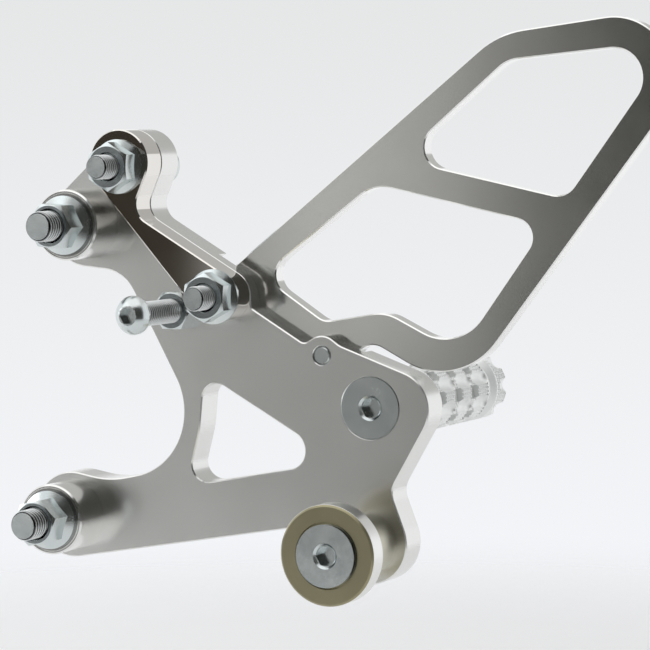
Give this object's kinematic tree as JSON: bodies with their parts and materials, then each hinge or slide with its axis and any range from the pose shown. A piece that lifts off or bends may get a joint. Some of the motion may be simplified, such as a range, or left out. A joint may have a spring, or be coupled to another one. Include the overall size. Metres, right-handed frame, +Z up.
{
  "type": "motorcycle rear set",
  "caption": "Right-hand motorcycle rear set: milled side plate with fixed footpeg, heel guard, frame collars and bolts, and a spool for the brake pedal.",
  "frame": {"origin": "centre of the upper collar's bearing face, on the axis of the upper frame screw", "axes": "+X rearwards along the motorcycle, +Y outboard along the footpeg, +Z up"},
  "size_m": [0.2231, 0.1276, 0.1841],
  "materials": {
    "plate_aluminium": "clear anodised over a satin polish",
    "collar_aluminium": "fine turned",
    "zinc_steel": "bright zinc plate",
    "peg_aluminium": "bead-blasted and clear anodised",
    "spool_aluminium": "hard anodised, olive grey, bright turned edge"
  },
  "bodies": {
    "side_plate_assembly": {"main_plate": "plate_aluminium", "upper_strip_plate": "plate_aluminium", "heel_guard": "plate_aluminium", "upper_frame_collar": "collar_aluminium", "lower_frame_collar": "collar_aluminium", "upper_frame_bolt": "zinc_steel", "lower_frame_bolt": "zinc_steel", "upper_frame_nut": "zinc_steel", "lower_frame_nut": "zinc_steel", "strip_top_bolt": "zinc_steel", "strip_end_bolt": "zinc_steel", "strip_top_nut": "zinc_steel", "strip_end_nut": "zinc_steel", "strip_top_washer": "zinc_steel", "strip_end_washer": "zinc_steel", "heel_guard_screw": "zinc_steel", "stopper_lock_nut": "zinc_steel", "footpeg_bolt": "zinc_steel", "pivot_bolt": "zinc_steel", "footpeg": "peg_aluminium", "pivot_spool": "spool_aluminium"},
    "stopper": {"stopper_bolt": "zinc_steel"}
  },
  "joints": [
    {"name": "stopper_travel", "type": "slide", "parent": "side_plate_assembly", "child": "stopper", "axis": [0, 1, 0], "range_m": [-0.003, 0.02]}
  ]
}
